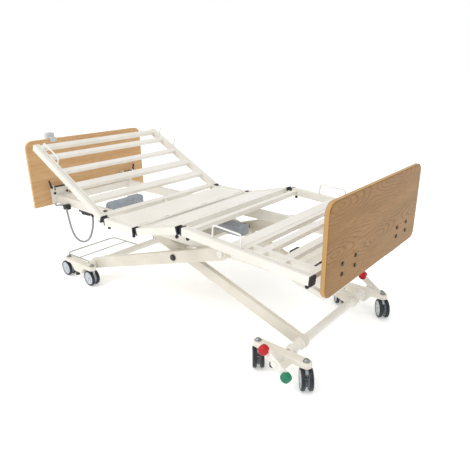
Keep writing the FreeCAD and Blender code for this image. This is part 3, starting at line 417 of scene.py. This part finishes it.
def lathe(bm, profile, place=Matrix.Identity(4), steps=48, closed=False):
    # turns (radius, height) points in millimetres round local Z; closed joins the last point to the first
    rings = []
    for radius, height in profile:
        if radius < 0.01:
            rings.append([bm.verts.new(place @ Vector((0, 0, height * mm)))])
            continue
        ring = []
        for k in range(steps):
            angle = 2 * math.pi * k / steps
            spot = Vector((radius * mm * math.cos(angle), radius * mm * math.sin(angle), height * mm))
            ring.append(bm.verts.new(place @ spot))
        rings.append(ring)
    pairs = list(zip(rings, rings[1:])) + ([(rings[-1], rings[0])] if closed else [])
    for low, high in pairs:
        for k in range(steps):
            n = (k + 1) % steps
            corners = [low[k % len(low)], low[n % len(low)], high[n % len(high)], high[k % len(high)]]
            unique = list(dict.fromkeys(corners))
            if len(unique) > 2:
                bm.faces.new(unique)


def slab(bm, outline, depth, easing, place=Matrix.Identity(4), segments=3):
    # an outline in local XY, millimetres, pulled up along local Z, with its rim edges eased
    before = set(bm.verts)
    low = [bm.verts.new(Vector((x * mm, y * mm, 0))) for x, y in outline]
    high = [bm.verts.new(Vector((x * mm, y * mm, depth * mm))) for x, y in outline]
    bottom, top = bm.faces.new(low[::-1]), bm.faces.new(high)
    for k in range(len(outline)):
        n = (k + 1) % len(outline)
        bm.faces.new((low[k], low[n], high[n], high[k]))
    if easing:
        rim = list(bottom.edges) + list(top.edges)
        bmesh.ops.bevel(bm, geom=rim, offset=easing * mm, segments=segments, profile=0.5,
                        affect="EDGES", clamp_overlap=True)
    for vert in set(bm.verts) - before:
        vert.co = place @ vert.co


def roundedOutline(width, height, radius, steps=6):
    # a rectangle in millimetres, centred, whose corners are arcs
    points = []
    for wayX, wayY, start in ((1, 1, 0), (-1, 1, 90), (-1, -1, 180), (1, -1, 270)):
        midX, midY = wayX * (width / 2 - radius), wayY * (height / 2 - radius)
        for k in range(steps + 1):
            angle = math.radians(start + 90 * k / steps)
            points.append((midX + radius * math.cos(angle), midY + radius * math.sin(angle)))
    return points


def facing(origin, zAxis, xAxis=None):
    # a place whose local Z looks along zAxis
    z = Vector(zAxis).normalized()
    if xAxis is None:
        xAxis = (0, 0, 1) if abs(z.z) < 0.9 else (1, 0, 0)
    x = Vector(xAxis)
    x = (x - z * x.dot(z)).normalized()
    return Matrix.Translation(origin) @ Matrix((x, z.cross(x), z)).transposed().to_4x4()


cord = {
    "radius": 6.0,
    "length": 1.135,     # metres, from gland to hand control
    # the route of the tube, metres: down from the gland, up to the clip on the rail, under the board, up
    "route": [(-0.475, -0.390, 0.470), (-0.467, -0.395, 0.446), (-0.465, -0.405, 0.404),
              (-0.473, -0.417, 0.358), (-0.499, -0.424, 0.325), (-0.548, -0.425, 0.303),
              (-0.601, -0.425, 0.301), (-0.650, -0.422, 0.321), (-0.706, -0.404, 0.352),
              (-0.770, -0.374, 0.379), (-0.832, -0.345, 0.406), (-0.876, -0.324, 0.424),
              (-0.914, -0.313, 0.434), (-0.964, -0.309, 0.432), (-1.008, -0.304, 0.420),
              (-1.046, -0.298, 0.409), (-1.076, -0.290, 0.415), (-1.096, -0.282, 0.446),
              (-1.101, -0.273, 0.506), (-1.099, -0.267, 0.576), (-1.093, -0.264, 0.640),
              (-1.083, -0.262, 0.698), (-1.076, -0.262, 0.752)],
}


def makeCord(look):
    curve = bpy.data.curves.new("handsetCord", "CURVE")
    curve.dimensions = "3D"
    curve.bevel_depth = look["radius"] * mm
    curve.bevel_resolution = 5
    curve.resolution_u = 10
    curve.use_fill_caps = True
    spline = curve.splines.new("NURBS")
    spline.points.add(len(look["route"]) - 1)
    for point, spot in zip(spline.points, look["route"]):
        point.co = (*spot, 1.0)
    spline.order_u = 3
    spline.use_endpoint_u = True
    curve.materials.append(cordSheath)
    piece = bpy.data.objects.new("handsetCord", curve)
    bpy.context.scene.collection.objects.link(piece)
    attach(piece, "main_frame")
    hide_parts("handset_cord")


makeCord(cord)
print("cord made")


def dress(material, *names):
    # a CAD part that already has its real shape takes only its finish
    for name in names:
        data = nodes[name].data
        data.materials.clear()
        data.materials.append(material)


cornerBreak = {
    "merge": 0.00002,    # metres between points that are one
    "flat": 0.6,         # degrees between facets that are one face
    "corner": 38,        # degrees from which a corner is broken
    "smooth": 32,        # degrees up to which shading runs round a corner
}


def eased(name, material, widthMm):
    # the same CAD shape with its sharp corners broken, as real welded tube and folded sheet have them
    mesh = nodes[name].data.copy()
    bm = bmesh.new()
    bm.from_mesh(mesh)
    bmesh.ops.remove_doubles(bm, verts=bm.verts, dist=cornerBreak["merge"])
    bmesh.ops.dissolve_limit(bm, angle_limit=math.radians(cornerBreak["flat"]), verts=bm.verts, edges=bm.edges)
    bm.to_mesh(mesh)
    bm.free()
    body = nodes[name]["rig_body"]
    piece = newPiece(name + "Eased", mesh, material, body, (name,), cornerBreak["smooth"])
    bevel = piece.modifiers.new("brokenEdges", "BEVEL")
    bevel.width = widthMm * mm
    bevel.segments = 2
    bevel.limit_method = "ANGLE"
    bevel.angle_limit = math.radians(cornerBreak["corner"])
    bevel.harden_normals = False


dress(ivorySteel, "foot_crossbar", "head_crossbar")
dress(rackCoat, "base_wire_rack")
dress(loopCoat, "backrest_retainers", "calf_retainers")
dress(footOak, "footboard")
dress(headOak, "headboard")
dress(zincBolt, "board_bolts", "scissor_pivot_bolts")
dress(blackNylon, "cord_fittings")
dress(chromeRod, "lift_rod", "knee_rod", "backrest_rod")
dress(rollerNylon, "track_rollers")
dress(footRubber, "foot_brake_feet", "head_brake_feet")
for steelNode in ("main_frame", "backrest_frame", "thigh_frame", "calf_frame",
                  "brake_linkage", "board_brackets"):
    eased(steelNode, ivorySteel, 0.9)
# the arms and cross plates take the frame's coat with the shade under the deck painted into its colour
for armNode in ("inner_arms", "outer_arms", "inner_cross_plate", "outer_cross_plate"):
    eased(armNode, shadedArmSteel, 0.9)
for castNode in ("foot_yokes", "head_yokes"):
    eased(castNode, ivoryCasting, 2.0)
for sheetNode in ("seat_pan", "thigh_pan", "backrest_slats", "calf_slats"):
    eased(sheetNode, ivorySheet, 0.9)
for capNode in ("seat_end_caps", "backrest_end_caps", "thigh_end_caps", "calf_end_caps", "latch_levers"):
    eased(capNode, blackNylon, 1.0)
eased("handset", handsetAbs, 1.2)
eased("lift_motor", blackHousing, 1.5)
for motorNode in ("knee_motor", "backrest_motor"):
    eased(motorNode, greyHousing, 1.5)
print("frame dressed")


handControl = {
    "columns": (-12.0, 12.0), "rows": (-46.0, -24.0, -2.0, 20.0, 42.0),
    "key": (16.0, 12.0, 4.0), "proud": 1.8, "keyFoot": 0.4,
    "strip": (47.0, 118.0, 9.0), "stripDeep": 1.2, "stripSunk": 0.6,
    # stepped sleeve that keeps the cord from kinking
    "bore": 6.1, "collar": 10.2, "ribs": 5, "pitch": 5.0,
    "rib": 10.0, "ribStep": 0.6, "neck": 8.4, "neckStep": 0.4,     # the steps make it thinner downwards
}


def makeHandControl(look):
    low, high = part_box("handset")
    centre = Vector((low[0], (low[1] + high[1]) / 2, (low[2] + high[2]) / 2))
    place = facing(centre, (-1, 0, 0), (0, -1, 0))
    face = bmesh.new()
    sunk = Matrix.Translation((0, 0, -look["stripSunk"] * mm))
    slab(face, roundedOutline(*look["strip"]), look["stripDeep"], 0.5, place @ sunk, 2)
    newPiece("keyField", finished("keyField", face), blackHousing, "main_frame")
    keys = bmesh.new()
    for across in look["columns"]:
        for up in look["rows"]:
            spot = Matrix.Translation((across * mm, up * mm, look["keyFoot"] * mm))
            slab(keys, roundedOutline(*look["key"], 4), look["proud"], 0.8, place @ spot, 3)
    newPiece("handKeys", finished("handKeys", keys), keyRubber, "main_frame")
    relief = bmesh.new()
    profile = [(look["bore"], 0), (look["collar"], 0)]
    for k in range(look["ribs"]):
        down = -k * look["pitch"]
        rib, neck = look["rib"] - k * look["ribStep"], look["neck"] - k * look["neckStep"]
        profile += [(rib, down - 2.0), (neck, down - 2.8), (neck, down - 4.2), (rib - 0.4, down - 5.0)]
    profile.append((look["bore"], -2.0 - look["ribs"] * look["pitch"]))
    top = Matrix.Translation(Vector(cord["route"][-1]) + Vector((0, 0, mm)))
    lathe(relief, profile, top, 32, True)
    newPiece("cordRelief", finished("cordRelief", relief), footRubber, "main_frame")


makeHandControl(handControl)
print("hand control made")


motor = {
    # places of the domed screw heads in metres, and the way that they face, by motor
    "screws": {
        "knee_motor": [((x, y, 0.486), (0, 0, 1)) for x in (0.330, 0.193) for y in (-0.026, 0.026)],
        "lift_motor": [((x, y, 0.432), (0, 0, 1)) for x in (0.800, 0.680) for y in (-0.028, 0.028)],
        "backrest_motor": [((x, 0.046, z), (0, 1, 0)) for x in (-0.560, -0.604) for z in (0.404, 0.479)],
    },
    "screwHead": [(0, 0.5), (1.1, 0.5), (1.5, 1.7), (3.0, 1.4), (3.9, 0.6), (4.1, -0.4), (0, -0.4)],
    # clamping bands: centre in metres, radius of the housing there in millimetres
    "bands": [((-0.582, -0.150, 0.457), 38.0), ((-0.582, -0.064, 0.457), 38.0)],
    # how far a band's outline stands off the housing, and its height across the band
    "bandShape": [(-1.5, -2.2), (0.5, -2.2), (0.9, -1.2), (0.9, 1.2), (0.5, 2.2), (-1.5, 2.2)],
    "ribs": 7, "ribPitch": 8.0, "ribSize": (112, 3.2, 1.5), "ribHigh": 2.2, "ribPlace": (0.740, 0, 0.4315),
}


def makeMotorDetails(look):
    for owner, places in look["screws"].items():
        screws = bmesh.new()
        for spot, way in places:
            lathe(screws, look["screwHead"], facing(spot, way), 20)
        newPiece(owner + "Screws", finished("screws", screws), zincBolt, "main_frame")
    bands = bmesh.new()
    for spot, radius in look["bands"]:
        profile = [(radius + off, along) for off, along in look["bandShape"]]
        lathe(bands, profile, facing(spot, (0, 1, 0)), 64, True)
    newPiece("motorBands", finished("motorBands", bands), greyHousing, "main_frame")
    ribs = bmesh.new()
    middle = Matrix.Translation(look["ribPlace"])
    for k in range(look["ribs"]):
        # cooling ribs along the lift motor's housing
        aside = Matrix.Translation((0, (k - look["ribs"] // 2) * look["ribPitch"] * mm, 0))
        slab(ribs, roundedOutline(*look["ribSize"], 3), look["ribHigh"], 0.7, middle @ aside, 2)
    newPiece("coolingRibs", finished("coolingRibs", ribs), blackHousing, "main_frame")


makeMotorDetails(motor)
print("motors detailed")


caster = {
    "axleHigh": 50.0, "gapHalf": 8.0, "bodyHalf": 7.4,
    # radius and height across the wheel, from its inner face outwards
    "tread": [(40.5, 0.8), (45.8, 0.6), (48.6, 1.8), (49.8, 4.4), (50.0, 7.6), (49.3, 8.6), (49.3, 9.4),
              (50.0, 10.4), (49.8, 14.4), (48.6, 17.0), (45.8, 18.4), (42.2, 18.6), (40.5, 17.6)],
    "disc": [(5.4, 1.6), (40.4, 1.6), (40.4, 16.8), (38.6, 17.6), (36.4, 16.2), (34.0, 13.6), (23.0, 12.6),
             (18.0, 13.4), (14.6, 16.6), (12.6, 17.8), (9.0, 18.2), (8.2, 17.2), (5.4, 17.2)],
    "spokes": 5, "spoke": (19, 5, 2.2), "spokeDeep": 3.4, "spokePlace": (0.0265, 0, 0.012),
    # the cheek round the axle, seen from the side: an arc from the stem, then the neck up to the swivel
    "trail": 14, "cheek": 34, "arcFrom": 62, "arcSweep": 250, "arcPoints": 22,
    "neck": [(-9, 40), (-14, 58), (-15.5, 80), (-15.5, 101), (10, 101), (17, 93)],
    "swivelRing": [(0, 100.6), (14.4, 100.6), (15, 101.2), (15, 102.4), (14.4, 103.2), (0, 103.2)],
    "stem": [(0, 102), (8, 102), (8, 124), (0, 124)],
    "axleEnd": [(0, 0), (4.9, 0), (4.9, 26.2), (3.8, 27.0), (0, 27.2)],
    "stemCap": [(0, 12.4), (4, 12.2), (8.6, 10.8), (12, 7.6), (13.6, 4.0), (14.2, 1.6), (15.6, 1.2),
                (15.6, -0.4), (0, -0.4)],
}


def makeWheels(name, look):
    base = "caster_wheels_" + name
    roll = joints["roll_" + name]
    centre, axle = Vector(roll["pos_m"]), Vector(roll["axis"])
    treads, discs = bmesh.new(), bmesh.new()
    for way in (-1, 1):
        place = facing(centre + axle * way * look["gapHalf"] * mm, axle * way)
        lathe(treads, look["tread"], place, 64, True)
        lathe(discs, look["disc"], place, 64, True)
        for k in range(look["spokes"]):
            turn = Matrix.Rotation(2 * math.pi * k / look["spokes"], 4, "Z")
            outwards = Matrix.Translation(look["spokePlace"])
            slab(discs, roundedOutline(*look["spoke"], 3), look["spokeDeep"], 1.0, place @ turn @ outwards, 2)
    newPiece("treads_" + name, finished("treads", treads), treadRubber, base, (base,))
    newPiece("discs_" + name, finished("discs", discs), casterNylon, base, (base,))


def makeFork(name, look):
    # housing between the wheels: a rounded cheek round the axle that rises into the swivel neck
    base = "caster_fork_" + name
    roll = joints["roll_" + name]
    centre, axle = Vector(roll["pos_m"]), Vector(roll["axis"])
    stem = joints["swivel_" + name]["pos_m"]
    foot = Vector((stem[0], stem[1], 0))
    ahead = (Vector((centre.x, centre.y, 0)) - foot).normalized()
    outline = []
    for k in range(look["arcPoints"]):
        angle = math.radians(look["arcFrom"] + look["arcSweep"] * k / (look["arcPoints"] - 1))
        outline.append((look["trail"] + look["cheek"] * math.cos(angle),
                        look["axleHigh"] + look["cheek"] * math.sin(angle)))
    side = ahead.cross(Vector((0, 0, 1)))
    upright = Matrix((ahead, Vector((0, 0, 1)), side)).transposed().to_4x4()
    place = Matrix.Translation(foot - side * look["bodyHalf"] * mm) @ upright
    housing = bmesh.new()
    slab(housing, outline + look["neck"], 2 * look["bodyHalf"], 2.6, place, 3)
    lathe(housing, look["swivelRing"], Matrix.Translation(foot), 40)
    newPiece("housing_" + name, finished("housing", housing), casterNylon, base, (base,))
    pins = bmesh.new()
    lathe(pins, look["stem"], Matrix.Translation(foot), 28)
    for way in (-1, 1):
        # axle end with its spring ring, sunk in the disc's hub
        lathe(pins, look["axleEnd"], facing(centre, axle * way), 24)
    newPiece("pins_" + name, finished("pins", pins), domeZinc, base, (base,))


def makeStemCaps(base, look):
    caps = bmesh.new()
    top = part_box(base + "_yokes")[1][2]
    for name in casterNames:
        if name.startswith(base):
            stem = joints["swivel_" + name]["pos_m"]
            lathe(caps, look["stemCap"], Matrix.Translation((stem[0], stem[1], top)), 40)
    newPiece("stemCaps_" + base, finished("stemCaps", caps), domeZinc, base + "_base")


casterNames = [name[len("roll_"):] for name in joints if name.startswith("roll_")]
for casterName in casterNames:
    makeWheels(casterName, caster)
    makeFork(casterName, caster)
for baseName in ("foot", "head"):
    makeStemCaps(baseName, caster)
print("casters made")


brakePad = {"radius": 23.0, "deep": 32.0, "crown": 4.2, "rings": 3, "outerRing": 18.4, "ringStep": 5.2}


def makePads(colour, material, look):
    pads = bmesh.new()
    node = colour + "_pedal_pads"
    low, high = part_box(node)
    centreX, centreZ = (low[0] + high[0]) / 2, (low[2] + high[2]) / 2
    radius = look["radius"]
    dome = radius - 2.4
    profile = [(0, 0), (radius - 2.5, 0), (radius - 0.6, 1.4), (radius, 4), (radius, 20), (radius - 0.6, 24),
               (dome, 27.2)]
    for k in range(look["rings"]):
        # shallow grip rings stepped into the dome
        ring = look["outerRing"] - k * look["ringStep"]
        crest = look["deep"] - look["crown"] * (ring / dome) ** 2
        profile += [(ring + 1.2, crest - 0.9), (ring, crest),
                    (ring - 2.2, crest + 0.25), (ring - 3.0, crest - 1.1)]
    profile += [(3.4, look["deep"] - 1.1), (0, look["deep"] - 0.9)]
    for side in (-1, 1):
        place = facing((centreX, side * (high[1] - look["deep"] * mm), centreZ), (0, side, 0))
        lathe(pads, profile, place, 56)
    newPiece(colour + "Pads", finished("pads", pads), material, "brake_pedals", (node,))


makePads("red", redRubber, brakePad)
makePads("green", greenRubber, brakePad)
print("brake pads made")


def studioSurface(name, hexCode):
    # seamless paper roll: matt, so it takes only soft contact shadows
    material, tree, place = newMaterial(name)
    cloud = addNode(tree, "ShaderNodeTexNoise", {
        "Vector": place.outputs["Object"], "Scale": 0.6, "Detail": 2.0, "Roughness": 0.4})
    tint = addNode(tree, "ShaderNodeMix", {0: cloud, 6: hexCode, 7: "#FFFFFF"}, data_type="RGBA")
    showSurface(tree, {
        "Base Color": tint.outputs[2], "Roughness": 0.9, "Specular IOR Level": 0.1,
        "Emission Color": "#FFFFFF", "Emission Strength": 0.3})
    return material


studio = {
    "floorHalf": 60, "floorDrop": 0.0005, "ambient": 0.66, "aim": (0, 0, 0.4),
    # kind, place, size (degrees for the sun, metres for the discs), power
    "lamps": [("softSun", "SUN", (-1.4, -2.6, 3.6), 40, 1.2),
              ("topDisc", "AREA", (0.2, 0.6, 3.6), 2.8, 16),
              ("footDisc", "AREA", (3.4, -0.6, 2.0), 1.8, 7)],
}


def makeStudio(look):
    bm = bmesh.new()
    bmesh.ops.create_grid(bm, x_segments=1, y_segments=1, size=look["floorHalf"])
    mesh = finished("studioFloor", bm)
    mesh.materials.append(studioSurface("paperSweepWhite", "#FBFBFA"))
    floor = bpy.data.objects.new("studioFloor", mesh)
    bpy.context.scene.collection.objects.link(floor)
    floor.location.z = -look["floorDrop"]
    world = bpy.data.worlds.new("studioWorld")
    world.use_nodes = True
    sky = world.node_tree
    # the backdrop is seen pure white, while it lights the bed more softly than that
    ray = addNode(sky, "ShaderNodeLightPath")
    glow = addNode(sky, "ShaderNodeMapRange", {
        "Value": ray.outputs["Is Camera Ray"], "To Min": look["ambient"], "To Max": 1.0})
    sky.links.new(glow.outputs[0], sky.nodes["Background"].inputs["Strength"])
    sky.nodes["Background"].inputs["Color"].default_value = toLinear("#FFFFFF")
    bpy.context.scene.world = world
    for name, kind, place, size, power in look["lamps"]:
        data = bpy.data.lights.new(name, kind)
        data.energy = power
        if kind == "SUN":
            data.angle = math.radians(size)
        else:
            data.shape = "DISK"
            data.size = size
        lamp = bpy.data.objects.new(name, data)
        bpy.context.scene.collection.objects.link(lamp)
        lamp.location = place
        lamp.rotation_euler = (Vector(look["aim"]) - Vector(place)).to_track_quat("-Z", "Y").to_euler()


makeStudio(studio)
bpy.context.scene.view_settings.view_transform = "Standard"
print("studio lit")
